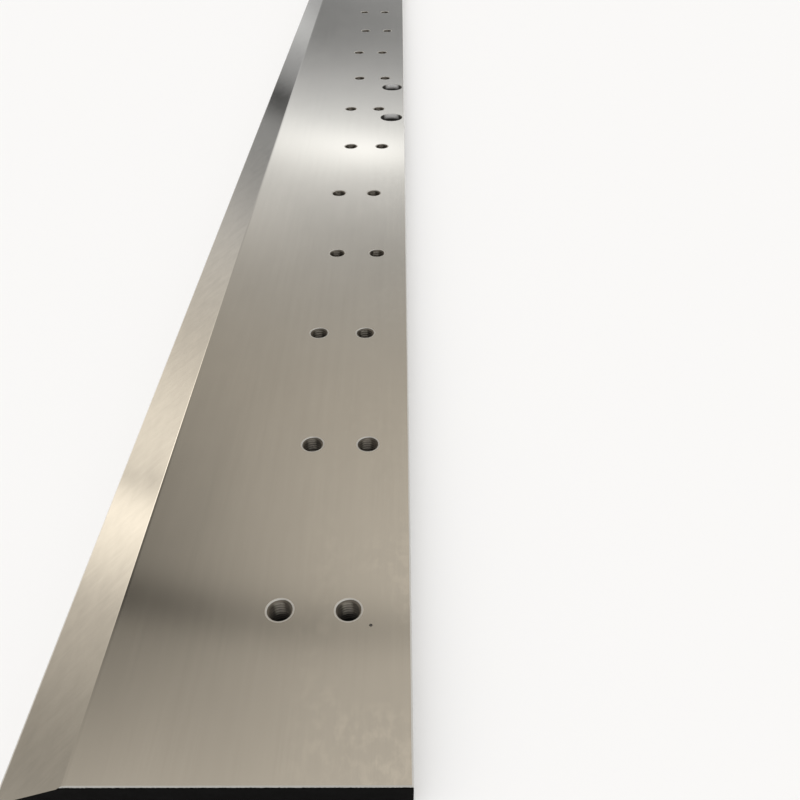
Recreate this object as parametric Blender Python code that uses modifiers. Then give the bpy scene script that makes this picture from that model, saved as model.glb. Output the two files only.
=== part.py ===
"""Paper cutter blade: one ground steel bar with a bevel, tapped holes in pairs and two large bores.

The bar lies on its flat back with the bevel up. Its length runs along Y, the cutting edge is
at -X, the back edge is at +X, and the origin is the middle of the flat back. Sizes are metres.
"""

from math import cos, pi, radians, sin, sqrt, tan

import bmesh
import bpy
from mathutils import Matrix

# The ground bar
LENGTH = 1.605
WIDTH = 0.160
THICKNESS = 0.01375

# The cutting edge: the ground bevel, and the narrow land honed a little steeper at its foot
BEVEL_ANGLE = radians(24.7)
HONE_STEEPER_BY = radians(7.3)
HONE_LAND = 0.0009

# Edges broken after grinding
BACK_CHAMFER = 0.0007
END_CHAMFER = 0.0009

# Tapped holes for the knife screws, in pairs across the blade. The first row and every
# second one after it lie a stagger nearer the cutting edge.
THREAD_DIAMETER = 0.012
THREAD_PITCH = 0.00175
COUNTERSINK_OUTSIDE_THREAD = 0.0005
ROW_FROM_END = 0.07905
ROW_PITCH = 0.1113
PAIR_SPACING = 0.0308
PAIR_FROM_BACK = 0.0229
ROW_STAGGER = 0.0052

# Large bores beside the back edge. Each lies a lead ahead of its row of tapped holes.
BORE_DIAMETER = 0.022
BORE_WALL_TO_BACK = 0.0031
BORE_RIM_CHAMFER = 0.0007
BORE_LEAD_BY_ROW = {7: 0.0278, 8: 0.0357}

# How finely the round walls are faceted
TAPPED_HOLE_FACETS = 24
BORE_FACETS = 48

# How far a cutter stands out of the steel
OVERRUN = 0.002

NEAR_END = -LENGTH / 2
CUTTING_EDGE = -WIDTH / 2
BACK_EDGE = WIDTH / 2


def clear_scene():
    """Remove whatever the file opened with."""
    for obj in list(bpy.data.objects):
        bpy.data.objects.remove(obj, do_unlink=True)


def new_collection(name):
    collection = bpy.data.collections.new(name)
    bpy.context.scene.collection.children.link(collection)
    return collection


def ground_steel():
    """Warm grey steel with a satin grind."""
    material = bpy.data.materials.new("ground_steel")
    material.use_nodes = True
    shader = material.node_tree.nodes["Principled BSDF"]
    shader.inputs["Base Color"].default_value = (0.50, 0.47, 0.42, 1.0)
    shader.inputs["Metallic"].default_value = 1.0
    shader.inputs["Roughness"].default_value = 0.38
    return material


def section_outline():
    """The bar's cross-section as (x, z) corners, from the cutting edge over the top to the back."""
    hone_angle = BEVEL_ANGLE + HONE_STEEPER_BY
    hone_x = CUTTING_EDGE + HONE_LAND * cos(hone_angle)
    hone_z = HONE_LAND * sin(hone_angle)
    bevel_top_x = hone_x + (THICKNESS - hone_z) / tan(BEVEL_ANGLE)
    return [
        (CUTTING_EDGE, 0.0),
        (hone_x, hone_z),
        (bevel_top_x, THICKNESS),
        (BACK_EDGE - BACK_CHAMFER, THICKNESS),
        (BACK_EDGE, THICKNESS - BACK_CHAMFER),
        (BACK_EDGE, BACK_CHAMFER),
        (BACK_EDGE - BACK_CHAMFER, 0.0),
    ]


def draw_section(collection):
    """The cross-section as a filled curve, extruded both ways from the middle of the length."""
    curve = bpy.data.curves.new("section", "CURVE")
    curve.dimensions = "2D"
    curve.fill_mode = "BOTH"
    curve.extrude = LENGTH / 2
    outline = section_outline()
    spline = curve.splines.new("POLY")
    spline.points.add(len(outline) - 1)
    for point, (x, z) in zip(spline.points, outline):
        point.co = (x, z, 0.0, 1.0)
    spline.use_cyclic_u = True
    section = bpy.data.objects.new("section", curve)
    section.rotation_euler = (pi / 2, 0.0, 0.0)
    collection.objects.link(section)
    bpy.context.view_layer.update()
    return section


def weld_caps(mesh):
    """Join the caps of an extruded outline to its walls."""
    shape = bmesh.new()
    shape.from_mesh(mesh)
    bmesh.ops.remove_doubles(shape, verts=shape.verts, dist=1e-6)
    bmesh.ops.recalc_face_normals(shape, faces=shape.faces)
    shape.to_mesh(mesh)
    shape.free()


def ground_bar(collection):
    """The bar before it is drilled, as one closed mesh."""
    section = draw_section(collection)
    evaluated = section.evaluated_get(bpy.context.evaluated_depsgraph_get())
    mesh = bpy.data.meshes.new_from_object(evaluated)
    weld_caps(mesh)
    mesh.materials.append(ground_steel())
    bar = bpy.data.objects.new("blade", mesh)
    bar.matrix_world = section.matrix_world
    collection.objects.link(bar)
    bpy.data.objects.remove(section, do_unlink=True)
    return bar


def add_cutter(collection, name, mesh, location):
    """Put a cutter in place, hidden from renders."""
    cutter = bpy.data.objects.new(name, mesh)
    cutter.location = location
    cutter.hide_render = True
    cutter.display_type = "WIRE"
    collection.objects.link(cutter)
    return cutter


def hole_profile(name, hole_radius, rim_chamfer):
    """Half the outline of a through hole with a 45 degree chamfer at both faces, run top to bottom."""
    top = THICKNESS + OVERRUN
    mouth_radius = hole_radius + rim_chamfer + OVERRUN
    outline = [
        (0.0, top),
        (mouth_radius, top),
        (hole_radius, THICKNESS - rim_chamfer),
        (hole_radius, rim_chamfer),
        (mouth_radius, -OVERRUN),
        (0.0, -OVERRUN),
    ]
    shape = bmesh.new()
    corners = [shape.verts.new((radius, 0.0, z)) for radius, z in outline]
    for upper, lower in zip(corners, corners[1:]):
        shape.edges.new((upper, lower))
    mesh = bpy.data.meshes.new(name)
    shape.to_mesh(mesh)
    shape.free()
    return mesh


def add_hole(collection, name, profile, facets, x, y):
    """Turn a hole profile round its axis at (x, y)."""
    cutter = add_cutter(collection, name, profile, (x, y, 0.0))
    turn = cutter.modifiers.new("turn", "SCREW")
    turn.steps = facets
    turn.render_steps = facets
    turn.use_merge_vertices = True
    turn.merge_threshold = 0.00001


def row_place(row):
    """Where a row of tapped holes lies along the blade. The first row is row 1."""
    return NEAR_END + ROW_FROM_END + (row - 1) * ROW_PITCH


def row_count():
    """How many rows of tapped holes the length takes."""
    room = LENGTH - 2 * ROW_FROM_END
    return 1 + round(room / ROW_PITCH - 0.49)


def add_tapped_holes(collection):
    """Two tapped holes in each row, cut to the core of the thread."""
    core_radius = (THREAD_DIAMETER - THREAD_PITCH) / 2
    countersink = (THREAD_DIAMETER / 2 + COUNTERSINK_OUTSIDE_THREAD) - core_radius
    profile = hole_profile("tapped_hole_profile", core_radius, countersink)
    for row in range(1, row_count() + 1):
        stagger = ROW_STAGGER if row % 2 else 0.0
        back_hole_x = BACK_EDGE - PAIR_FROM_BACK - stagger
        for side, x in (("back", back_hole_x), ("front", back_hole_x - PAIR_SPACING)):
            name = f"tapped_hole_{row}_{side}"
            add_hole(collection, name, profile, TAPPED_HOLE_FACETS, x, row_place(row))


def add_bores(collection):
    """The large bores beside the back edge."""
    profile = hole_profile("bore_profile", BORE_DIAMETER / 2, BORE_RIM_CHAMFER)
    bore_x = BACK_EDGE - BORE_WALL_TO_BACK - BORE_DIAMETER / 2
    for row, lead in BORE_LEAD_BY_ROW.items():
        add_hole(collection, f"bore_{row}", profile, BORE_FACETS, bore_x, row_place(row) - lead)


def add_end_chamfers(collection):
    """A square bar, turned on its corner, along the top and bottom edge of each end face."""
    bar_side = 4 * END_CHAMFER
    shape = bmesh.new()
    bmesh.ops.create_cube(shape, size=1.0)
    bmesh.ops.scale(shape, verts=shape.verts, vec=(WIDTH + 2 * OVERRUN, bar_side, bar_side))
    bmesh.ops.rotate(shape, verts=shape.verts, matrix=Matrix.Rotation(pi / 4, 3, "X"))
    mesh = bpy.data.meshes.new("end_chamfer")
    shape.to_mesh(mesh)
    shape.free()
    # The chamfer's plane lies END_CHAMFER / sqrt(2) inside the corner it breaks
    outside_corner = (bar_side / 2 - END_CHAMFER / sqrt(2)) / sqrt(2)
    for end, outward_y in (("near", -1), ("far", 1)):
        y = outward_y * (LENGTH / 2 + outside_corner)
        for face, z in (("bottom", -outside_corner), ("top", THICKNESS + outside_corner)):
            add_cutter(collection, f"{end}_{face}_chamfer", mesh, (0.0, y, z))


def drill(bar, cutters):
    """Take every cutter out of the bar."""
    boolean = bar.modifiers.new("drilled", "BOOLEAN")
    boolean.operation = "DIFFERENCE"
    boolean.operand_type = "COLLECTION"
    boolean.collection = cutters
    boolean.solver = "EXACT"


def build():
    clear_scene()
    model = new_collection("paper_cutter_blade")
    cutters = new_collection("cutters")
    add_tapped_holes(cutters)
    add_bores(cutters)
    add_end_chamfers(cutters)
    drill(ground_bar(model), cutters)


build()
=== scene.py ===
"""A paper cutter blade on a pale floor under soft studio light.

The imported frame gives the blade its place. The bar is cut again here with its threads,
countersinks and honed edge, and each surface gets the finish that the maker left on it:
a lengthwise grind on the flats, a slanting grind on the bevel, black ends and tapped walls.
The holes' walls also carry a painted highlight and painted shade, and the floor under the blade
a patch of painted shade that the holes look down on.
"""

from __future__ import annotations

import logging
from collections.abc import Iterable, Iterator, Mapping
from dataclasses import dataclass, field
from enum import Enum
from math import cos, pi, radians, sin, tan

import bmesh
import bpy
from bmesh.types import BMEdge, BMesh, BMVert
from bpy.types import Material, Node, NodeSocket, NodeTree, Object
from mathutils import Matrix, Vector


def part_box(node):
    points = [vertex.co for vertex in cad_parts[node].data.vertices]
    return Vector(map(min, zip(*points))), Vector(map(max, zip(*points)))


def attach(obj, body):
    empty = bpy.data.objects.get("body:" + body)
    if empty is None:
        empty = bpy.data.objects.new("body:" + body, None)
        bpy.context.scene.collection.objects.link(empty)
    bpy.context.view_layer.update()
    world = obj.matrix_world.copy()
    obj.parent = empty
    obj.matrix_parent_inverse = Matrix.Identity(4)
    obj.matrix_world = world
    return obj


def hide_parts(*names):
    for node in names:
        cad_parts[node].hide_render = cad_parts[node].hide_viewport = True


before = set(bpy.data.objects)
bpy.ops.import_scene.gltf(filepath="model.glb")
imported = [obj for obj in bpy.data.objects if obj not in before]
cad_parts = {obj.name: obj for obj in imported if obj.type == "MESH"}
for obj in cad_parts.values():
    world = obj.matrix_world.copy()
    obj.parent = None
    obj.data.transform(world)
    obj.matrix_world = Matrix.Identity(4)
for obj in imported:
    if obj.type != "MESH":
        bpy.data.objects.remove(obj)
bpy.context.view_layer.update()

log = logging.getLogger("paper_cutter_blade")

MM = 0.001

# The UV map whose U runs across the grinding scratches and whose V runs along them, in metres
LAY_MAP = "lay"

# Where each pattern lies in the noise, so that no two of them repeat each other
SCRATCH_LAYER = 0.0
SWEEP_LAYER = 3.0
WISP_LAYER = 7.0
PATCH_LAYER = 11.0

# How many finer layers the noise of a pattern has, and how strong they are
SCRATCH_DETAIL = (3.0, 0.6)
MOTTLE_DETAIL = (3.0, 0.55)

RGB = tuple[float, float, float]
Span = tuple[float, float]
Place = tuple[float, float]
Sizes = tuple[float, float, float]
Colour = RGB | NodeSocket

# The bare metals of the blade: ground, and freshly cut
STEEL: RGB = (0.45, 0.44, 0.41)
BRIGHT: RGB = (0.62, 0.61, 0.58)


class Surface(Enum):
    """The blade's kinds of surface, in the order of its material slots."""

    FACE = 0
    BEVEL = 1
    RIDGE = 2
    HONED = 3
    BROKEN_EDGE = 4
    BACK = 5
    END = 6
    RIM = 7
    THREAD = 8
    BORE = 9
    BORE_RIM = 10
    MARK = 11


class Wire:
    """A number socket that takes part in Python arithmetic, adding a Math node for each step."""

    def __init__(self, bench: Bench, socket: NodeSocket) -> None:
        """Wrap a socket.

        Args:
            bench: The node tree's bench, which adds the nodes.
            socket: The output that carries the number.
        """
        self.bench = bench
        self.socket = socket

    def math(self, operation: str, *operands: Wire | float) -> Wire:
        """Add a Math node.

        Args:
            operation: The Math node's operation.
            *operands: Its inputs, in order.

        Returns:
            The node's result.
        """
        inputs = {index: operand for index, operand in enumerate(operands)}
        node = self.bench.node("ShaderNodeMath", {"operation": operation}, inputs)
        return Wire(self.bench, node.outputs[0])

    def __add__(self, other: Wire | float) -> Wire:
        """Add."""
        return self.math("ADD", self, other)

    __radd__ = __add__

    def __sub__(self, other: Wire | float) -> Wire:
        """Subtract."""
        return self.math("SUBTRACT", self, other)

    def __rsub__(self, other: float) -> Wire:
        """Subtract this from a number."""
        return self.math("SUBTRACT", other, self)

    def __mul__(self, other: Wire | float) -> Wire:
        """Multiply."""
        return self.math("MULTIPLY", self, other)

    __rmul__ = __mul__

    def __truediv__(self, other: Wire | float) -> Wire:
        """Divide."""
        return self.math("DIVIDE", self, other)

    def clamped(self) -> Wire:
        """Keep the number between 0 and 1."""
        return self.math("MINIMUM", self.math("MAXIMUM", self, 0.0), 1.0)

    def bell(self, centre: float, half_width: float) -> Wire:
        """A smooth bump that is 1 at the centre and falls to 1/e a half width away.

        Args:
            centre: Where the bump peaks.
            half_width: How far it reaches.

        Returns:
            The bump's height.
        """
        offset = (self - centre) / half_width
        return self.math("EXPONENT", 0.0 - offset * offset)

    def step(self, low: float, high: float) -> Wire:
        """A smooth step from 0 at low to 1 at high.

        Args:
            low: Where the step starts.
            high: Where it ends.

        Returns:
            The step's height.
        """
        settings = {"interpolation_type": "SMOOTHSTEP"}
        inputs = {"Value": self, "From Min": low, "From Max": high}
        node = self.bench.node("ShaderNodeMapRange", settings, inputs)
        return Wire(self.bench, node.outputs["Result"])


class Bench:
    """Builds one node tree."""

    # A Mix node's colour sockets by number, because its other sockets have the same names
    MIX_COLOURS = (6, 7)
    MIX_RESULT = 2

    def __init__(self, tree: NodeTree) -> None:
        """Clear the tree.

        Args:
            tree: The tree to build.
        """
        self.tree = tree
        tree.nodes.clear()

    def node(
        self,
        kind: str,
        settings: Mapping[str, object] | None = None,
        inputs: Mapping[str | int, object] | None = None,
    ) -> Node:
        """Add a node.

        Args:
            kind: The node's type.
            settings: Its settings, which are set first.
            inputs: A value, a Wire or a socket for each named or numbered input.

        Returns:
            The node.
        """
        node = self.tree.nodes.new(kind)
        for name, value in (settings or {}).items():
            setattr(node, name, value)
        for name, value in (inputs or {}).items():
            if isinstance(value, Wire):
                value = value.socket
            if isinstance(value, NodeSocket):
                self.tree.links.new(value, node.inputs[name])
            else:
                node.inputs[name].default_value = value
        return node

    def parts(self, vector: NodeSocket) -> tuple[Wire, Wire, Wire]:
        """The three numbers of a vector."""
        split = self.node("ShaderNodeSeparateXYZ", {}, {"Vector": vector})
        return tuple(Wire(self, split.outputs[axis]) for axis in "XYZ")

    def object_place(self) -> tuple[Wire, Wire, Wire]:
        """The point's place on the blade, as x, y and z in metres."""
        return self.parts(self.node("ShaderNodeTexCoord").outputs["Object"])

    def lay_place(self) -> tuple[Wire, Wire]:
        """The point's place across and along the grinding scratches, in metres."""
        across, along, _ = self.parts(self.node("ShaderNodeUVMap", {"uv_map": LAY_MAP}).outputs["UV"])
        return across, along

    def facing_along(self, turn: float) -> Wire:
        """How squarely an upright wall faces along the blade.

        Args:
            turn: How far the wall that faces it fully is turned away from the blade's length.

        Returns:
            A number from 0 to 1.
        """
        across, along, _ = self.parts(self.node("ShaderNodeTexCoord").outputs["Normal"])
        level_part = across.math("SQRT", across * across + along * along)
        return along.math("ABSOLUTE", along * cos(turn) - across * sin(turn)) / level_part

    def depth_under(self, z: Wire, faces: Span) -> Wire:
        """How deep a height lies under the nearer of the blade's two flat faces."""
        low, high = faces
        return z.math("MINIMUM", z - low, high - z)

    def joined(self, x: Wire | float, y: Wire | float, z: Wire | float) -> NodeSocket:
        """A vector of three numbers."""
        return self.node("ShaderNodeCombineXYZ", {}, {"X": x, "Y": y, "Z": z}).outputs["Vector"]

    def noise(self, vector: NodeSocket, detail: float = 2.0, rough: float = 0.5) -> Wire:
        """Noise, a blob to each unit of the vector.

        Args:
            vector: Where the noise is read.
            detail: How many finer layers it has.
            rough: How strong the finer layers are.

        Returns:
            A number that wanders about 0.5.
        """
        inputs = {"Vector": vector, "Scale": 1.0, "Detail": detail, "Roughness": rough}
        return Wire(self, self.node("ShaderNodeTexNoise", {}, inputs).outputs["Fac"])

    def grained(self, place: tuple[Wire, ...], grain: tuple[float, ...], detail: float) -> Wire:
        """Noise at a place, with a grain of the given size along each axis."""
        return self.noise(self.joined(*(part / size for part, size in zip(place, grain))), detail)

    def mixed(self, factor: Wire | float, first: Colour, second: Colour) -> NodeSocket:
        """A colour between two.

        Args:
            factor: 0 for the first colour, 1 for the second.
            first: The first colour, or the socket that carries it.
            second: The second colour, or its socket.

        Returns:
            The colour's socket.
        """
        inputs = {"Factor": factor}
        for slot, colour in zip(self.MIX_COLOURS, (first, second)):
            inputs[slot] = (*colour, 1.0) if isinstance(colour, tuple) else colour
        return self.node("ShaderNodeMix", {"data_type": "RGBA"}, inputs).outputs[self.MIX_RESULT]

    def bump(self, height: Wire, depth: float) -> NodeSocket:
        """A bumped normal.

        Args:
            height: The height field, from 0 to 1.
            depth: What a height of 1 stands for, in metres.

        Returns:
            The normal's socket.
        """
        return self.node("ShaderNodeBump", {}, {"Distance": depth, "Height": height}).outputs["Normal"]


def new_material(name: str) -> tuple[Material, Bench]:
    """A material with an empty tree.

    Args:
        name: The material's name.

    Returns:
        The material, and the bench that fills its tree.
    """
    material = bpy.data.materials.new(name)
    material.use_nodes = True
    return material, Bench(material.node_tree)


def shaded(colour: RGB, by: float) -> RGB:
    """A colour made darker or lighter."""
    return tuple(part * by for part in colour)


@dataclass(frozen=True)
class Finish:
    """What a tool left on one kind of the blade's surface.

    Attributes:
        name: The material's name.
        dark: The colour in the scratches, or where dirt and oil lie.
        light: The colour between them.
        roughness: The mean roughness.
    """

    name: str
    dark: RGB
    light: RGB
    roughness: float

    def material(self) -> Material:
        """Build the material.

        Returns:
            The material.
        """
        material, bench = new_material(self.name)
        shader = bench.node("ShaderNodeBsdfPrincipled", {}, self.inputs(bench))
        bench.node("ShaderNodeOutputMaterial", {}, {"Surface": shader.outputs["BSDF"]})
        return material

    def inputs(self, bench: Bench) -> dict[str, object]:
        """Build what the material's shader takes.

        Args:
            bench: The material's bench.

        Returns:
            A value, a Wire or a socket for each of its inputs.
        """
        raise NotImplementedError


@dataclass(frozen=True)
class GroundFinish(Finish):
    """Steel ground with an abrasive wheel that left fine parallel scratches.

    Attributes:
        scratch_width: The width of a scratch.
        scratch_length: Its length.
        anisotropy: How much further light spreads across the scratches than along them.
        stain_width: The width of a stain, which is twice as long.
        contrast: How strongly the scratches and stains show in the colour.
        smudges: How strongly the light wisps show that oily hands left.
        smudge_colour: The colour of a wisp.
        smudge_rougher: How much rougher than the steel it is.
        depth: The depth of a scratch in the bump.
        sweep: The width and length of a sweep of the wheel, in scratches.
        tone_shares: How much the scratches, the sweeps and the stains count in the colour.
        wander_shares: How much they count in the roughness.
        wisp: The width and length of a wisp.
        wisp_edge: Between which values of the noise a wisp fades in.
        patch: The width and length of a patch of wisps.
        patch_edge: Between which values of the noise a patch fades in.
        handled: Where the smudges start and where they are full, towards the back edge.
        carried: The same from the middle of the length towards the ends, where it is carried.
        least_held: What share of the smudges the middle of the length has.
    """

    roughness: float = 0.14
    scratch_width: float = 0.35 * MM
    scratch_length: float = 45 * MM
    anisotropy: float = 0.9
    stain_width: float = 28 * MM
    contrast: float = 1.0
    smudges: float = 0.0
    smudge_colour: RGB = (0.62, 0.6, 0.55)
    smudge_rougher: float = 0.1
    depth: float = 0.0006 * MM
    sweep: Place = (12.0, 4.0)
    tone_shares: Sizes = (0.875, 0.625, 1.0)
    wander_shares: Sizes = (0.012, 0.012, 0.036)
    wisp: Place = (5 * MM, 8 * MM)
    wisp_edge: Span = (0.42, 0.7)
    patch: Place = (45 * MM, 80 * MM)
    patch_edge: Span = (0.38, 0.6)
    handled: Span = (20 * MM, 60 * MM)
    carried: Span = (640 * MM, 740 * MM)
    least_held: float = 0.2

    def inputs(self, bench: Bench) -> dict[str, object]:
        """Build a metal whose scratches lie as the lay map says.

        Args:
            bench: The material's bench.

        Returns:
            A value, a Wire or a socket for each of its inputs.
        """
        x, y, z = bench.object_place()
        across, along = bench.lay_place()
        across, along = across / self.scratch_width, along / self.scratch_length
        scratches = bench.noise(bench.joined(across, along, SCRATCH_LAYER), *SCRATCH_DETAIL)
        sweeps = bench.noise(bench.joined(across / self.sweep[0], along / self.sweep[1], SWEEP_LAYER))
        stain_place = bench.joined(x / self.stain_width, y / (2 * self.stain_width), z / self.stain_width)
        patterns = (scratches, sweeps, bench.noise(stain_place, *MOTTLE_DETAIL))
        tone = 0.5 + self._weighed(patterns, self.tone_shares) * self.contrast
        wander = self._weighed(patterns, self.wander_shares)
        clean = bench.mixed(tone.clamped(), self.dark, self.light)
        smudged = self._smudges(bench, x, y)
        tangent = bench.node("ShaderNodeTangent", {"direction_type": "UV_MAP", "uv_map": LAY_MAP})
        return {
            "Base Color": bench.mixed(smudged, clean, self.smudge_colour),
            "Metallic": 1.0,
            "Roughness": (self.roughness + wander + smudged * self.smudge_rougher).clamped(),
            "Anisotropic": self.anisotropy,
            "Tangent": tangent.outputs["Tangent"],
            "Normal": bench.bump(scratches, self.depth),
        }

    def _smudges(self, bench: Bench, x: Wire, y: Wire) -> Wire:
        """The wisps that hands left beside the back edge, most of them near the ends.

        Args:
            bench: The material's bench.
            x: The place across the blade.
            y: The place along it.

        Returns:
            How much of a smudge there is, up to the finish's own strength.
        """
        patches = bench.noise(bench.joined(x / self.patch[0], y / self.patch[1], PATCH_LAYER), 1.0)
        wisp_place = bench.joined(x / self.wisp[0], y / self.wisp[1], WISP_LAYER)
        wisps = bench.noise(wisp_place, *MOTTLE_DETAIL).step(*self.wisp_edge)
        near_ends = y.math("ABSOLUTE", y).step(*self.carried)
        held = x.step(*self.handled) * (near_ends * (1 - self.least_held) + self.least_held)
        return wisps * patches.step(*self.patch_edge) * held * self.smudges

    @staticmethod
    def _weighed(patterns: tuple[Wire, ...], shares: tuple[float, ...]) -> Wire:
        """A sum of patterns that wander about 0.5, each less that mean and times its share."""
        first, *others = [(pattern - 0.5) * share for pattern, share in zip(patterns, shares)]
        return sum(others, first)


@dataclass(frozen=True)
class BlackFinish(Finish):
    """The blade's ends in near-black, with a bare line beside each flat face.

    Attributes:
        faces: The heights of the blade's two flat faces.
        bare: The colour of the bare line.
        bare_depth: How far it reaches from the face.
        bare_smoother: How much smoother than the black it is.
        roughness_spread: How far the roughness wanders from patch to patch.
        specular: How strongly the black mirrors.
        saw_mark: The size of a saw mark along X, Y and Z.
        saw_depth: Its depth in the bump.
        patch: The size of a patch of the black along X, Y and Z.
    """

    faces: Span
    bare: RGB
    bare_depth: float = 0.5 * MM
    bare_smoother: float = 0.2
    roughness_spread: float = 0.3
    specular: float = 0.025
    saw_mark: Sizes = (0.5 * MM, 1.0 * MM, 6.0 * MM)
    saw_depth: float = 0.02 * MM
    patch: Sizes = (9 * MM, 9 * MM, 4 * MM)

    def inputs(self, bench: Bench) -> dict[str, object]:
        """Build a dull black that stops at a ragged bare line.

        Args:
            bench: The material's bench.

        Returns:
            A value, a Wire or a socket for each of its inputs.
        """
        place = bench.object_place()
        saw_marks = bench.grained(place, self.saw_mark, 2.0)
        patches = bench.grained(place, self.patch, 3.0)
        depth = bench.depth_under(place[2], self.faces)
        bare = depth.math("LESS_THAN", depth, self.bare_depth * (0.5 + saw_marks))
        wander = (patches - 0.5) * self.roughness_spread
        return {
            "Base Color": bench.mixed(bare, bench.mixed(patches, self.dark, self.light), self.bare),
            "Metallic": bare,
            "Roughness": self.roughness + wander - bare * self.bare_smoother,
            "Specular IOR Level": self.specular,
            "Normal": bench.bump(saw_marks, self.saw_depth),
        }


@dataclass(frozen=True)
class CutFinish(Finish):
    """The walls that a drill, a tap or a boring tool left, with a bare mouth at each face.

    Where a wall faces along the blade it takes a lighter colour, a painted highlight;
    below a set height it takes its dark colour, painted shade.

    Attributes:
        faces: The heights of the blade's two flat faces.
        mouth: The colour of the bare mouth.
        mouth_depth: How deep the bare mouth goes.
        painted_highlight: The lighter colour painted on the walls that face along the blade, a painted
            highlight.
        highlight_facing: How squarely a wall faces along it where the painted highlight starts, and where
            it is full.
        highlight_turn: How far the walls with the painted highlight are turned away from that.
        highlight_depths: How deep the painted highlight starts and ends.
        painted_shade_level: The height up to which the dark colour lies full as painted shade, and the
            height where it ends.
        metallic: How far it shines as metal, and not as the dull film on it.
        specular: How strongly that film mirrors.
        mouth_fade: Over which share of its depth the mouth fades, to either side.
        mouth_roughens: How much rougher than the wall the mouth is.
        highlight_fade_in: Over which depth the painted highlight fades in.
        highlight_fade_out: Over which share of its last depth it fades out, to either side.
        raggedness: How far the oil makes the painted highlight's sides wander.
        oil_patch: The size of a patch of oil along X, Y and Z.
        oil_contrast: How sharply the patches end.
        oil_roughens: How far the oil makes the roughness wander.
        feed_mark: The size of a feed mark along X, Y and Z.
        feed_depth: Its depth in the bump.
    """

    faces: Span
    mouth: RGB
    mouth_depth: float
    painted_highlight: RGB
    highlight_facing: Span = (0.75, 0.96)
    highlight_turn: float = 0.0
    highlight_depths: Span = (0.0, 30 * MM)
    painted_shade_level: Span = (-2 * MM, -1 * MM)
    metallic: float = 1.0
    specular: float = 0.3
    mouth_fade: float = 0.1
    mouth_roughens: float = 0.15
    highlight_fade_in: float = 0.5 * MM
    highlight_fade_out: float = 0.4
    raggedness: float = 0.1
    oil_patch: Sizes = (5 * MM, 5 * MM, 4 * MM)
    oil_contrast: float = 2.0
    oil_roughens: float = 0.1
    feed_mark: Sizes = (4 * MM, 4 * MM, 0.15 * MM)
    feed_depth: float = 0.005 * MM

    def inputs(self, bench: Bench) -> dict[str, object]:
        """Build an oily wall with a painted highlight where it faces along the blade and painted shade low
        down.

        Args:
            bench: The material's bench.

        Returns:
            A value, a Wire or a socket for each of its inputs.
        """
        place = bench.object_place()
        feed_marks = bench.grained(place, self.feed_mark, 2.0)
        oil = bench.grained(place, self.oil_patch, 2.0) - 0.5
        depth = bench.depth_under(place[2], self.faces)
        bare = self._within(depth, self.mouth_depth, self.mouth_fade)
        oily = bench.mixed((0.5 + oil * self.oil_contrast).clamped(), self.dark, self.light)
        # The painted highlight: a lighter colour on the walls that face along the blade, between two depths
        facing = bench.facing_along(self.highlight_turn) + oil * self.raggedness
        first, last = self.highlight_depths
        reached = depth.step(first - self.highlight_fade_in, first) * self._within(depth, last, self.highlight_fade_out)
        wall = bench.mixed(facing.step(*self.highlight_facing) * reached, oily, self.painted_highlight)
        # Painted shade: below a set height the wall takes its dark colour
        unshaded = place[2].step(*self.painted_shade_level)
        return {
            "Base Color": bench.mixed(bare, bench.mixed(unshaded, self.dark, wall), self.mouth),
            "Metallic": self.metallic,
            "Specular IOR Level": self.specular,
            "Roughness": self.roughness + oil * self.oil_roughens + bare * self.mouth_roughens,
            "Normal": bench.bump(feed_marks, self.feed_depth),
        }

    @staticmethod
    def _within(depth: Wire, limit: float, fade: float) -> Wire:
        """1 down to a limit and 0 below it, with a fade over a share of it to either side."""
        return depth.step(limit * (1 + fade), limit * (1 - fade))


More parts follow.
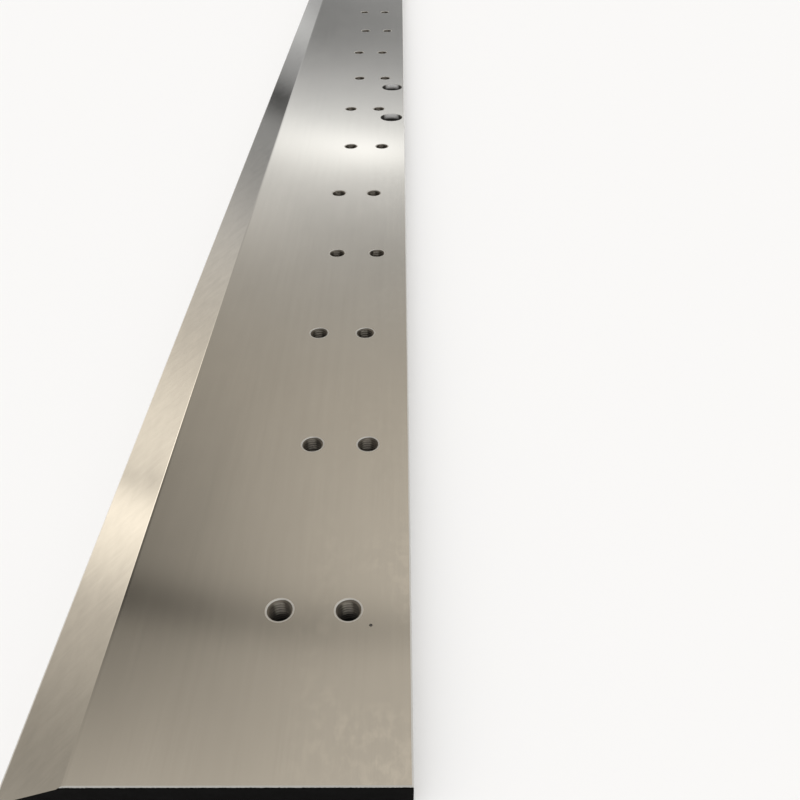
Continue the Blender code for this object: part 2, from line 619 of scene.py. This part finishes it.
def finishes(faces: Span) -> dict[Surface, Material]:
    """The material of each kind of surface.

    Args:
        faces: The heights of the blade's two flat faces.

    Returns:
        A material for each kind.
    """
    made = {
        Surface.FACE: GroundFinish("ground_face", shaded(STEEL, 0.95), shaded(STEEL, 1.05), smudges=0.36),
        Surface.BEVEL: GroundFinish(
            "ground_bevel",
            shaded(STEEL, 0.9),
            shaded(STEEL, 1.1),
            scratch_length=14 * MM,
            roughness=0.09,
            anisotropy=0.4,
            stain_width=7 * MM,
            contrast=0.9,
        ),
        Surface.RIDGE: GroundFinish(
            "worn_ridge", shaded(STEEL, 0.96), STEEL, roughness=0.1, anisotropy=0.5
        ),
        Surface.HONED: GroundFinish(
            "honed_edge", shaded(BRIGHT, 0.94), BRIGHT, scratch_width=0.1 * MM, roughness=0.15
        ),
        Surface.BROKEN_EDGE: GroundFinish(
            "broken_edge",
            shaded(BRIGHT, 0.85),
            shaded(BRIGHT, 0.95),
            scratch_width=0.15 * MM,
            roughness=0.3,
        ),
        Surface.BACK: GroundFinish(
            "ground_back", shaded(STEEL, 0.9), STEEL, scratch_width=0.5 * MM, roughness=0.3
        ),
        Surface.END: BlackFinish(
            name="near_black_end",
            dark=(0.0008, 0.0006, 0.0005),
            light=(0.003, 0.0026, 0.0022),
            roughness=0.65,
            faces=faces,
            bare=shaded(STEEL, 0.85),
        ),
        Surface.RIM: GroundFinish(
            "deburred_rim", shaded(BRIGHT, 0.7), shaded(BRIGHT, 0.8), roughness=0.45, anisotropy=0.0
        ),
        Surface.THREAD: CutFinish(
            name="tapped_wall",
            dark=(0.032, 0.026, 0.019),
            light=(0.125, 0.107, 0.082),
            roughness=0.4,
            faces=faces,
            mouth=shaded(BRIGHT, 0.85),
            mouth_depth=0.3 * MM,
            # A painted highlight: a lighter streak down the walls that face along the blade, turned a
            # little
            painted_highlight=(0.31, 0.28, 0.235),
            highlight_facing=(0.84, 0.99),
            highlight_turn=radians(15),
            highlight_depths=(1.2 * MM, 30 * MM),
            # Painted shade: the lower part of each tapped hole takes the dark colour
            painted_shade_level=(3 * MM, 6 * MM),
            metallic=0.35,
        ),
        Surface.BORE: CutFinish(
            name="bored_wall",
            dark=(0.04, 0.038, 0.034),
            light=(0.1, 0.095, 0.09),
            roughness=0.5,
            faces=faces,
            mouth=(0.1, 0.095, 0.09),
            mouth_depth=0.1 * MM,
            # A near-white painted highlight near the mouth, on the walls that face along the blade
            painted_highlight=(0.97, 0.96, 0.94),
            highlight_facing=(0.62, 0.92),
            highlight_depths=(0.0, 4.2 * MM),
            metallic=0.6,
        ),
        Surface.BORE_RIM: CutFinish(
            name="bore_rim",
            dark=(0.04, 0.038, 0.034),
            light=(0.1, 0.095, 0.09),
            roughness=0.5,
            faces=faces,
            mouth=(0.1, 0.095, 0.09),
            mouth_depth=0.05 * MM,
            # A painted highlight on the rim where it faces along the blade
            painted_highlight=(0.42, 0.415, 0.405),
            highlight_facing=(0.62, 0.92),
        ),
        Surface.MARK: CutFinish(
            name="struck_mark",
            dark=(0.05, 0.045, 0.04),
            light=(0.11, 0.1, 0.09),
            roughness=0.5,
            faces=faces,
            mouth=(0.08, 0.075, 0.07),
            mouth_depth=0.1 * MM,
            painted_highlight=(0.11, 0.1, 0.09),
        ),
    }
    return {kind: finish.material() for kind, finish in made.items()}


def mesh_object(name: str, shape: BMesh) -> Object:
    """Turn a bmesh into an object at the origin, and free the bmesh.

    Args:
        name: The object's name.
        shape: The finished bmesh.

    Returns:
        The object, linked to the scene.
    """
    mesh = bpy.data.meshes.new(name)
    shape.to_mesh(mesh)
    shape.free()
    made = bpy.data.objects.new(name, mesh)
    bpy.context.scene.collection.objects.link(made)
    return made


# A metric thread's height, and the flats and the flank of its section, in pitches
THREAD_HEIGHT = 5 / 8 * sin(pi / 3)
CREST_FLAT, FLANK, ROOT_FLAT = 1 / 4, 5 / 16, 1 / 8

# How many turns more than the blade is thick the thread's cutter has, so that it runs past both faces
EXTRA_TURNS = 3

# How far the thread's cutter comes to a point outside its rims, and the others stand out of the faces
THREAD_POINT, SINK_OVERRUN, BORE_OVERRUN = 0.5 * MM, 0.1 * MM, 1.0 * MM

# How far the ball that strikes the mark is lifted off the face, and its sides around and down
MARK_LIFT, MARK_SIDES = 0.1 * MM, (24, 16)

# How far the drilled core stays off the thread's crests, and how near corners are that are welded
CORE_GAP = 0.01 * MM
WELD = 0.001 * MM

# How closely a face has to match a plane, a square direction, a slope and the rings' slope
HAIR, SQUARE, SLOPE_MATCH, RIM_MATCH = 0.02 * MM, 0.999, 0.001, 0.003

# The part of a normal along an axis from which on a face counts as facing that way
FACING = 0.5


@dataclass
class Blade:
    """The ground bar with its bevel, tapped holes and bores.

    Attributes:
        bevel_angle: The ground bevel's angle to the flat back.
        hone_steeper_by: How much steeper the honed land is.
        hone_land: The honed land's width.
        ridge_breaks: How far the ridge between the face and the bevel is worn to each side.
        back_chamfer: How far the back edge's corners are broken.
        end_chamfer: How far the ends' long edges are broken.
        thread_diameter: The screw thread's outer diameter.
        thread_pitch: Its pitch.
        countersink_outside: How far a tapped hole's mouth reaches outside the thread, ring and all.
        rim_width: The width of the deburred ring round the countersink.
        rim_slope: How steeply the ring falls towards it.
        row_from_end: From the near end to the first row of tapped holes.
        row_pitch: From one row to the next.
        rows: The number of rows.
        pair_spacing: Between the two holes of a row.
        pair_from_back: From the back edge to the nearer hole of an even row.
        row_stagger: How much further from the back edge an odd row lies.
        bore_diameter: The large bores' diameter.
        bore_wall: The steel between a bore and the back edge.
        bore_chamfer: How far a bore's rim is broken.
        bore_leads: How far ahead of its row each bore lies, by row.
        mark_place: Where the small hardness-test mark is, from the near end's back corner.
        mark_diameter: The mark's diameter.
        bevel_lay: The angle of the bevel's scratches to the blade's length.
        crease: The angle between two faces from which on their edge is sharp.
        thread_steps: The number of steps in a turn of the thread.
        bore_steps: The number of sides of a bore.
    """

    bevel_angle: float = radians(24.7)
    hone_steeper_by: float = radians(7.3)
    hone_land: float = 0.9 * MM
    ridge_breaks: Span = (1.0 * MM, 0.6 * MM)
    back_chamfer: float = 0.7 * MM
    end_chamfer: float = 0.9 * MM
    thread_diameter: float = 12 * MM
    thread_pitch: float = 1.75 * MM
    countersink_outside: float = 0.65 * MM
    rim_width: float = 0.65 * MM
    rim_slope: float = radians(6)
    row_from_end: float = 79.05 * MM
    row_pitch: float = 111.3 * MM
    rows: int = 14
    pair_spacing: float = 30.8 * MM
    pair_from_back: float = 22.9 * MM
    row_stagger: float = 5.2 * MM
    bore_diameter: float = 22 * MM
    bore_wall: float = 3.1 * MM
    bore_chamfer: float = 0.7 * MM
    bore_leads: dict[int, float] = field(default_factory=lambda: {7: 27.8 * MM, 8: 35.7 * MM})
    mark_place: Place = (17.9 * MM, 71.0 * MM)
    mark_diameter: float = 1.5 * MM
    bevel_lay: float = radians(50)
    crease: float = radians(30)
    thread_steps: int = 40
    bore_steps: int = 96

    def __post_init__(self) -> None:
        """Take the bar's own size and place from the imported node."""
        self.low, self.high = (Vector(corner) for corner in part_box("blade"))
        self.thickness = self.high.z - self.low.z
        self.thread_core = self.thread_diameter / 2 - THREAD_HEIGHT * self.thread_pitch

    def build(self) -> Object:
        """Make the blade and dress it.

        Returns:
            The blade's object.
        """
        blade = self._bar()
        self._cut(blade, [self._threads(), self._countersinks(), self._bores(), self._mark()])
        self._dress(blade)
        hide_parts("blade")
        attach(blade, "root")
        return blade

    def hole_places(self) -> Iterator[Place]:
        """The centre of each tapped hole, as x and y.

        Yields:
            One centre after the other, from the near end.
        """
        for row in range(1, self.rows + 1):
            stagger = self.row_stagger if row % 2 else 0.0
            back_hole = self.high.x - self.pair_from_back - stagger
            yield back_hole, self.row_y(row)
            yield back_hole - self.pair_spacing, self.row_y(row)

    def bore_places(self) -> Iterator[Place]:
        """The centre of each large bore, as x and y.

        Yields:
            One centre after the other, from the near end.
        """
        x = self.high.x - self.bore_wall - self.bore_diameter / 2
        for row, lead in self.bore_leads.items():
            yield x, self.row_y(row) - lead

    def mark_centre(self) -> Place:
        """The centre of the hardness test's mark, as x and y."""
        from_back, from_end = self.mark_place
        return self.high.x - from_back, self.low.y + from_end

    def ridge_slopes(self) -> Span:
        """The slopes of the worn ridge's two narrow facets, which ease it into the bevel."""
        return self.bevel_angle / 4, self.bevel_angle * 3 / 4

    def row_y(self, row: int) -> float:
        """Where a row of tapped holes lies along the blade."""
        return self.low.y + self.row_from_end + (row - 1) * self.row_pitch

    def _bar(self) -> Object:
        """The bar before it is drilled: a block with its bevel, honed land and edges cut away.

        Returns:
            The bar's object.
        """
        bar = bmesh.new()
        bmesh.ops.create_cube(bar, size=1.0)
        bmesh.ops.scale(bar, verts=bar.verts, vec=self.high - self.low)
        bmesh.ops.translate(bar, verts=bar.verts, vec=(self.low + self.high) / 2)
        self._grind_bevel(bar)
        self._break_edges(bar)
        return mesh_object("blade_surface", bar)

    def _grind_bevel(self, bar: BMesh) -> None:
        """Cut the bevel, the honed land and the worn ridge.

        Args:
            bar: The square bar.
        """
        hone_angle = self.bevel_angle + self.hone_steeper_by
        edge = Vector((self.low.x, 0.0, self.low.z))
        shoulder = edge + self.hone_land * Vector((cos(hone_angle), 0.0, sin(hone_angle)))
        self._slice(bar, shoulder, Vector((-sin(self.bevel_angle), 0.0, cos(self.bevel_angle))))
        self._slice(bar, edge, Vector((-sin(hone_angle), 0.0, cos(hone_angle))))
        ridge = Vector((shoulder.x + (self.high.z - shoulder.z) / tan(self.bevel_angle), 0.0, self.high.z))
        down_bevel = Vector((-cos(self.bevel_angle), 0.0, -sin(self.bevel_angle)))
        away = (Vector((1.0, 0.0, 0.0)), down_bevel)
        for reach, direction, slope in zip(self.ridge_breaks, away, self.ridge_slopes()):
            self._slice(bar, ridge + reach * direction, Vector((-sin(slope), 0.0, cos(slope))))

    def _break_edges(self, bar: BMesh) -> None:
        """Break the long edges of the back and of both ends.

        Args:
            bar: The bar with its bevel.
        """
        for z, up in ((self.low.z, -1.0), (self.high.z, 1.0)):
            corner = Vector((self.high.x - self.back_chamfer, 0.0, z))
            self._slice(bar, corner, Vector((1.0, 0.0, up)))
            for y, out in ((self.low.y, -1.0), (self.high.y, 1.0)):
                corner = Vector((0.0, y - out * self.end_chamfer, z))
                self._slice(bar, corner, Vector((0.0, out, up)))

    @staticmethod
    def _slice(shape: BMesh, point: Vector, normal: Vector) -> None:
        """Cut away what lies outside a plane, and close the cut.

        Args:
            shape: The shape to cut.
            point: A point of the plane.
            normal: The plane's normal, on the side that goes.
        """
        cut = bmesh.ops.bisect_plane(
            shape,
            geom=shape.verts[:] + shape.edges[:] + shape.faces[:],
            plane_co=point,
            plane_no=normal.normalized(),
            clear_outer=True,
        )
        edges = [part for part in cut["geom_cut"] if isinstance(part, BMEdge)]
        bmesh.ops.contextual_create(shape, geom=edges)

    def _threads(self) -> Object:
        """The screw thread's own shape in every tapped hole, run past both faces.

        Returns:
            The cutters, as one object.
        """
        pitch, outer, inner = self.thread_pitch, self.thread_diameter / 2, self.thread_core
        turns = int(self.thickness / pitch) + EXTRA_TURNS
        start = self.low.z - (turns * pitch - self.thickness) / 2
        root = CREST_FLAT + FLANK
        profile = [(inner, 0.0), (inner, CREST_FLAT), (outer, root), (outer, root + ROOT_FLAT)]
        profile.append((inner, 1.0))
        turn = bmesh.new()
        corners = [turn.verts.new((radius, 0.0, start + part * pitch)) for radius, part in profile]
        tooth = [turn.edges.new(pair) for pair in zip(corners, corners[1:])]
        bmesh.ops.spin(
            turn,
            geom=corners + tooth,
            axis=(0.0, 0.0, 1.0),
            dvec=(0.0, 0.0, pitch / self.thread_steps),
            angle=2 * pi * turns,
            steps=self.thread_steps * turns,
        )
        bmesh.ops.remove_doubles(turn, verts=turn.verts, dist=WELD)
        self._close_to_points(turn)
        return self._at_each("threads", turn, self.hole_places())

    @staticmethod
    def _close_to_points(shape: BMesh) -> None:
        """Close each open rim with a cone to a point on the axis a little further out.

        Args:
            shape: A turned shape that is open at both ends.
        """
        middle = sum(corner.co.z for corner in shape.verts) / len(shape.verts)
        rims = [edge for edge in shape.edges if edge.is_boundary]
        for out in (-1.0, 1.0):
            rim = [edge for edge in rims if out * (edge.verts[0].co.z - middle) > 0]
            grown = bmesh.ops.extrude_edge_only(shape, edges=rim)["geom"]
            tips = [part for part in grown if isinstance(part, BMVert)]
            furthest = max(out * corner.co.z for corner in tips)
            apex = Vector((0.0, 0.0, out * furthest + out * THREAD_POINT))
            bmesh.ops.pointmerge(shape, verts=tips, merge_co=apex)
        bmesh.ops.recalc_face_normals(shape, faces=shape.faces)

    def _turned(self, profile: list[tuple[float, float]], steps: int) -> BMesh:
        """A through hole turned about its axis, the same at both faces.

        Args:
            profile: The radius and the height over the face, from outside the mouth to the wall.
            steps: The number of sides.

        Returns:
            The closed shape.
        """
        top, bottom = profile[0][1] + self.high.z, self.low.z - profile[0][1]
        outline = [(0.0, top)] + [(radius, self.high.z + over) for radius, over in profile]
        outline += [(radius, self.low.z - over) for radius, over in reversed(profile)] + [(0.0, bottom)]
        turned = bmesh.new()
        corners = [turned.verts.new((radius, 0.0, z)) for radius, z in outline]
        edges = [turned.edges.new(pair) for pair in zip(corners, corners[1:])]
        around = {"axis": (0.0, 0.0, 1.0), "angle": 2 * pi, "steps": steps}
        bmesh.ops.spin(turned, geom=corners + edges, use_merge=True, **around)
        bmesh.ops.remove_doubles(turned, verts=turned.verts, dist=WELD)
        bmesh.ops.recalc_face_normals(turned, faces=turned.faces)
        return turned

    def _countersinks(self) -> Object:
        """The tapped holes' core, their countersinks and the deburred rings at their mouths.

        Returns:
            The cutters, as one object.
        """
        mouth = self.thread_diameter / 2 + self.countersink_outside
        core = self.thread_core + CORE_GAP
        ring = mouth - self.rim_width
        ring_depth = self.rim_width * tan(self.rim_slope)
        profile = [
            (mouth + SINK_OVERRUN / tan(self.rim_slope), SINK_OVERRUN),
            (ring, -ring_depth),
            (core, -ring_depth - (ring - core)),
        ]
        turned = self._turned(profile, 2 * self.thread_steps)
        return self._at_each("countersinks", turned, self.hole_places())

    def _bores(self) -> Object:
        """The large bores, with their rims broken.

        Returns:
            The cutters, as one object.
        """
        radius, over = self.bore_diameter / 2, BORE_OVERRUN
        profile = [(radius + self.bore_chamfer + over, over), (radius, -self.bore_chamfer)]
        return self._at_each("bores", self._turned(profile, self.bore_steps), self.bore_places())

    def _mark(self) -> Object:
        """The small round mark of a hardness test, beside the first row.

        Returns:
            The cutter.
        """
        dent = bmesh.new()
        around, down = MARK_SIDES
        bmesh.ops.create_uvsphere(dent, u_segments=around, v_segments=down, radius=self.mark_diameter / 2)
        bmesh.ops.translate(dent, verts=dent.verts, vec=(0.0, 0.0, self.high.z + MARK_LIFT))
        return self._at_each("hardness_mark", dent, [self.mark_centre()])

    @staticmethod
    def _at_each(name: str, shape: BMesh, places: Iterable[Place]) -> Object:
        """Copy a shape to each place, and free it.

        Args:
            name: The new object's name.
            shape: The shape, made at the origin.
            places: Where the copies go, as x and y.

        Returns:
            One object with all copies.
        """
        pattern = bpy.data.meshes.new(name)
        shape.to_mesh(pattern)
        shape.free()
        copies = bmesh.new()
        for x, y in places:
            before = len(copies.verts)
            copies.from_mesh(pattern)
            copies.verts.ensure_lookup_table()
            bmesh.ops.translate(copies, verts=copies.verts[before:], vec=(x, y, 0.0))
        bpy.data.meshes.remove(pattern)
        return mesh_object(name, copies)

    @staticmethod
    def _cut(blade: Object, cutters: list[Object]) -> None:
        """Take each cutter out of the blade, and remove the cutters.

        Args:
            blade: The undrilled bar.
            cutters: What is taken out of it, in this order.
        """
        for cutter in cutters:
            boolean = blade.modifiers.new(cutter.name, "BOOLEAN")
            boolean.operation = "DIFFERENCE"
            boolean.object = cutter
            boolean.solver = "MANIFOLD"
        evaluated = blade.evaluated_get(bpy.context.evaluated_depsgraph_get())
        drilled = bpy.data.meshes.new_from_object(evaluated)
        blade.modifiers.clear()
        plain = blade.data
        blade.data = drilled
        bpy.data.meshes.remove(plain)
        for cutter in cutters:
            bpy.data.objects.remove(cutter, do_unlink=True)

    def surface_of(self, face: bpy.types.MeshPolygon) -> Surface:
        """Which kind of surface a face belongs to.

        Args:
            face: A face of the drilled blade.

        Returns:
            Its kind.
        """
        n, at = face.normal, face.center
        above, below = self.high.z - at.z, at.z - self.low.z
        from_end = min(at.y - self.low.y, self.high.y - at.y)
        from_back = self.high.x - at.x
        if abs(n.z) > SQUARE and min(above, below) < HAIR:
            return Surface.FACE
        if abs(n.y) > SQUARE and from_end < HAIR:
            return Surface.END
        if n.x > SQUARE and from_back < HAIR:
            return Surface.BACK
        if abs(n.y) < SLOPE_MATCH:
            slopes = [(slope, Surface.RIDGE) for slope in self.ridge_slopes()]
            slopes.append((self.bevel_angle, Surface.BEVEL))
            slopes.append((self.bevel_angle + self.hone_steeper_by, Surface.HONED))
            for slope, kind in slopes:
                if abs(n.x + sin(slope)) < SLOPE_MATCH:
                    return kind
        if from_end < self.end_chamfer:
            return Surface.END
        if from_back < self.back_chamfer:
            return Surface.BROKEN_EDGE
        if abs(abs(n.z) - cos(self.rim_slope)) < RIM_MATCH and min(above, below) < self.rim_width:
            return Surface.RIM
        if (at.xy - Vector(self.mark_centre())).length < self.mark_diameter / 2:
            return Surface.MARK
        if self._in_bore(at):
            return Surface.BORE_RIM if abs(n.z) > FACING else Surface.BORE
        return Surface.THREAD

    def _in_bore(self, at: Vector) -> bool:
        """Whether a point lies in one of the large bores."""
        reach = self.bore_diameter / 2 + self.bore_chamfer
        return any((at.xy - Vector(place)).length < reach for place in self.bore_places())

    def _dress(self, blade: Object) -> None:
        """Give each face its material and its scratches' direction, and shade the round walls smooth.

        Args:
            blade: The drilled blade.
        """
        mesh = blade.data
        mesh.materials.clear()
        materials = finishes((self.low.z, self.high.z))
        for kind in Surface:
            mesh.materials.append(materials[kind])
        mesh.set_sharp_from_angle(angle=self.crease)
        lay_map = mesh.uv_layers.new(name=LAY_MAP)
        round_walls = (Surface.RIM, Surface.THREAD, Surface.BORE, Surface.BORE_RIM, Surface.MARK)
        for face in mesh.polygons:
            kind = self.surface_of(face)
            face.material_index = kind.value
            face.use_smooth = kind in round_walls
            across, along = self._lay(face.normal, self.bevel_lay if kind is Surface.BEVEL else 0.0)
            for loop in face.loop_indices:
                corner = mesh.vertices[mesh.loops[loop].vertex_index].co
                lay_map.uv[loop].vector = (corner.dot(across), corner.dot(along))

    @staticmethod
    def _lay(normal: Vector, turn: float) -> tuple[Vector, Vector]:
        """The directions across and along the scratches on a face.

        Args:
            normal: The face's normal.
            turn: The scratches' angle to the blade's length.

        Returns:
            Two unit vectors in the face.
        """
        length = Vector((0.0, 1.0, 0.0))
        slope = length.cross(normal) if abs(normal.y) < FACING else Vector((1.0, 0.0, 0.0))
        slope = (slope - slope.dot(normal) * normal).normalized()
        length = normal.cross(slope)
        return slope * cos(turn) - length * sin(turn), slope * sin(turn) + length * cos(turn)


@dataclass(frozen=True)
class SoftBox:
    """A soft patch of light or shade, placed by angles about the blade's length, in degrees.

    Attributes:
        name: What it stands for.
        off: The angle off the blade's far end, up to 180 for the near end.
        around: The angle around the blade's length, from overhead towards its back edge.
        half_off: How far it reaches along the first angle, to where it falls to 1/e.
        half_around: How far it reaches along the second.
        strength: How much it adds to the light.
    """

    name: str
    off: float
    around: float
    half_off: float
    half_around: float
    strength: float

    def light(self, off: Wire, around: Wire) -> Wire:
        """What the patch adds to the light at the two angles."""
        across = around.bell(self.around, self.half_around)
        return self.strength * across * off.bell(self.off, self.half_off)


@dataclass
class Studio:
    """The floor, the soft light and the camera.

    Attributes:
        level: The light from the blade's far end.
        near_extra: How much more comes from overhead and from the near end.
        near_from: Where that starts and where it is full, in degrees off the far end.
        boxes: The soft patches of more or less light.
        horizon: How much more comes from about the floor's horizon.
        horizon_half: To which angle above and below it that reaches.
        least_light: What every direction gives at least.
        daylight: The tint of the light from the far end, from overhead, the near end and the right.
        lamplight: The tint of the light between them.
        warm_from: Where the lamplight starts and where it is full, in degrees off the far end.
        warm_to: Where it has ended and where it is still full, in the same degrees.
        warm_around: The same two around the blade's length, towards its back edge.
        floor_colour: The floor's colour.
        painted_shade_colour: The colour of a patch of the floor under the blade, painted shade that its
            holes look down on.
        painted_shade_inset: How far that patch stays inside the blade's outline.
        floor_size: The floor's width and length.
        camera_place: Where the camera is.
        camera_pitch: How far it looks down.
        camera_yaw: How far it looks away from the blade's length.
        camera_roll: How far it is tilted.
        focal_pixels: Its focal length in the photograph's pixels.
        photo_pixels: The photograph's width.
        sensor_width: The camera's sensor width, in millimetres.
        clip_start: How near it sees.
    """

    level: float = 0.68
    near_extra: float = 0.57
    near_from: Span = (66.0, 90.0)
    boxes: tuple[SoftBox, ...] = (
        SoftBox("far window", 21.05, -5.5, 0.95, 12, 1.18),
        SoftBox("far window's left end", 22, -22, 1.3, 11, 0.54),
        SoftBox("far window's glow", 21.1, -8, 4.1, 40, 0.6),
        SoftBox("left ceiling", 26.5, -25, 3.8, 9, 0.3),
        SoftBox("left far corner", 16.5, -25, 4.5, 9, -0.22),
        SoftBox("low far wall", 13, -8, 4, 40, -0.35),
        SoftBox("ceiling beam", 54.6, -10, 1.5, 40, -0.29),
        SoftBox("beam's shade", 57, -10, 7, 40, -0.1),
        SoftBox("right wall", 52, 14, 14, 26, 0.42),
        SoftBox("left pillar", 52, -26, 14, 10, -0.35),
        SoftBox("left pillar's edge", 50, -35, 9, 4, -0.35),
        SoftBox("near ceiling", 72, 0, 10, 60, 0.3),
        SoftBox("near beam", 120, 0, 14, 90, -0.35),
        SoftBox("left ceiling's edge", 100, -52, 28, 14, -0.3),
        SoftBox("left clerestory", 45, -58, 9, 7, 2.1),
        SoftBox("left window", 49.6, -76, 1.9, 18, 0.65),
        SoftBox("left window's near half", 52.4, -76, 2.2, 18, 0.43),
        SoftBox("left window's frame", 47, -76, 0.8, 18, -0.35),
        SoftBox("left window's glow", 44, -75, 12.5, 25, 0.85),
        SoftBox("left window's far jamb", 36.5, -75, 4.5, 22, -0.27),
        SoftBox("left near wall", 65, -75, 5, 22, -0.17),
        SoftBox("left far wall", 14.2, -75, 3.8, 22, -0.26),
        SoftBox("left post", 19.4, -75, 1.1, 20, -0.45),
        SoftBox("left post's shade", 22.5, -75, 5, 20, -0.34),
        SoftBox("left gap", 14.8, -75, 1.3, 20, 0.34),
        SoftBox("right far window", 16, 84, 8, 14, 0.9),
        SoftBox("right bay", 55, 95, 40, 32, 0.33),
    )
    horizon: float = 0.3
    horizon_half: float = radians(2.2)
    least_light: float = 0.02
    daylight: RGB = (1.0, 1.0, 1.0)
    lamplight: RGB = (1.0, 0.91, 0.79)
    warm_from: Span = (18.0, 40.0)
    warm_to: Span = (86.0, 64.0)
    warm_around: Span = (70.0, 40.0)
    floor_colour: RGB = (0.92, 0.93, 0.945)
    # A near-black patch of the floor under the blade: painted shade that the holes look down on
    painted_shade_colour: RGB = (0.015, 0.015, 0.014)
    painted_shade_inset: float = 2 * MM
    floor_size: float = 40.0
    camera_place: tuple[float, float, float] = (0.075298, -0.941993, 0.307704)
    camera_pitch: float = radians(38.531)
    camera_yaw: float = radians(-0.051)
    camera_roll: float = radians(-0.128)
    focal_pixels: float = 792.41
    photo_pixels: float = 800.0
    sensor_width: float = 36.0
    clip_start: float = 0.01

    def build(self) -> None:
        """Make the floor, the light and the camera."""
        self._floor()
        self._light()
        self._camera()
        bpy.context.scene.view_settings.view_transform = "Standard"

    def _floor(self) -> None:
        """A large pale floor, with a near-black patch of painted shade under the blade, which hides it."""
        shape = bmesh.new()
        bmesh.ops.create_grid(shape, x_segments=1, y_segments=1, size=self.floor_size / 2)
        floor = mesh_object("floor", shape)
        material, bench = new_material("pale_floor")
        x, y, _ = bench.object_place()
        low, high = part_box("blade")
        inside: Wire | float = 1.0
        for place, edges in ((x, (low[0], high[0])), (y, (low[1], high[1]))):
            first, last = edges[0] + self.painted_shade_inset, edges[1] - self.painted_shade_inset
            inside = inside * place.math("GREATER_THAN", place, first)
            inside = inside * place.math("LESS_THAN", place, last)
        # Near-black inside the blade's outline: painted shade, seen only through the holes
        colour = bench.mixed(inside, self.floor_colour, self.painted_shade_colour)
        diffuse = bench.node("ShaderNodeBsdfDiffuse", {}, {"Color": colour})
        bench.node("ShaderNodeOutputMaterial", {}, {"Surface": diffuse.outputs["BSDF"]})
        floor.data.materials.append(material)

    def _light(self) -> None:
        """Even light from all round, with the soft patches that the steel mirrors."""
        world = bpy.data.worlds.new("studio")
        bpy.context.scene.world = world
        world.use_nodes = True
        bench = Bench(world.node_tree)
        towards = bench.node("ShaderNodeTexCoord").outputs["Generated"]
        x, y, z = bench.parts(towards)
        degree = radians(1)
        off = y.math("ARCCOSINE", y) / degree
        around = x.math("ARCTAN2", x, z) / degree
        light = self.level + self.near_extra * off.step(*self.near_from)
        for box in self.boxes:
            light = light + box.light(off, around)
        light = light + self.horizon * z.bell(0.0, sin(self.horizon_half))
        warmth = off.step(*self.warm_from) * off.step(*self.warm_to) * around.step(*self.warm_around)
        tint = bench.mixed(warmth, self.daylight, self.lamplight)
        strength = light.math("MAXIMUM", light, self.least_light)
        glow = bench.node("ShaderNodeBackground", {}, {"Color": tint, "Strength": strength})
        bench.node("ShaderNodeOutputWorld", {}, {"Surface": glow.outputs["Background"]})

    def _camera(self) -> None:
        """The camera at the photograph's place, lens and tilt."""
        lens = bpy.data.cameras.new("camera")
        lens.sensor_width = self.sensor_width
        lens.lens = self.sensor_width * self.focal_pixels / self.photo_pixels
        lens.clip_start = self.clip_start
        camera = bpy.data.objects.new("camera", lens)
        turn = Matrix.Rotation(-self.camera_yaw, 4, "Z")
        tilt = Matrix.Rotation(pi / 2 - self.camera_pitch, 4, "X")
        roll = Matrix.Rotation(self.camera_roll, 4, "Z")
        camera.matrix_world = Matrix.Translation(self.camera_place) @ turn @ tilt @ roll
        bpy.context.scene.collection.objects.link(camera)
        bpy.context.scene.camera = camera


def main() -> None:
    """Build the studio and the blade."""
    logging.basicConfig(level=logging.INFO, format="%(name)s: %(message)s")
    Studio().build()
    log.info("studio built")
    blade = Blade().build()
    log.info("%s built with %d faces", blade.name, len(blade.data.polygons))


if __name__ == "__main__":
    main()
